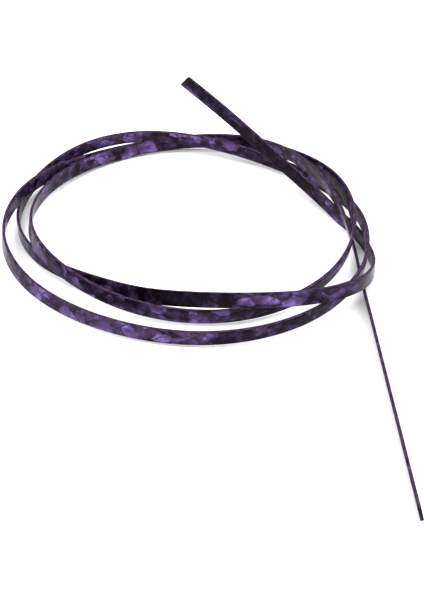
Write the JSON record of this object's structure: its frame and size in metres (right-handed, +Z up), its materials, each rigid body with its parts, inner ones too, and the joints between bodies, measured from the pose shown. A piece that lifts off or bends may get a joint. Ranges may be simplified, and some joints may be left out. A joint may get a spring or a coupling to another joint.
{
  "type": "coiled binding strip",
  "caption": "Flat springy purple pearl celluloid edge-binding strip, coiled loosely on its narrow edge, one end sprung up over the back and the other running out straight.",
  "frame": {"origin": "middle of the footprint, on the surface that the strip stands on", "axes": "+Z up from the surface; -Y the way the straight end runs out; +X to the right, the side of the coil that the straight end leaves from"},
  "size_m": [0.1502, 0.2352, 0.0502],
  "materials": {
    "celluloid": "polished dark purple pearl"
  },
  "bodies": {
    "root": {"binding_strip": "celluloid"}
  },
  "joints": []
}
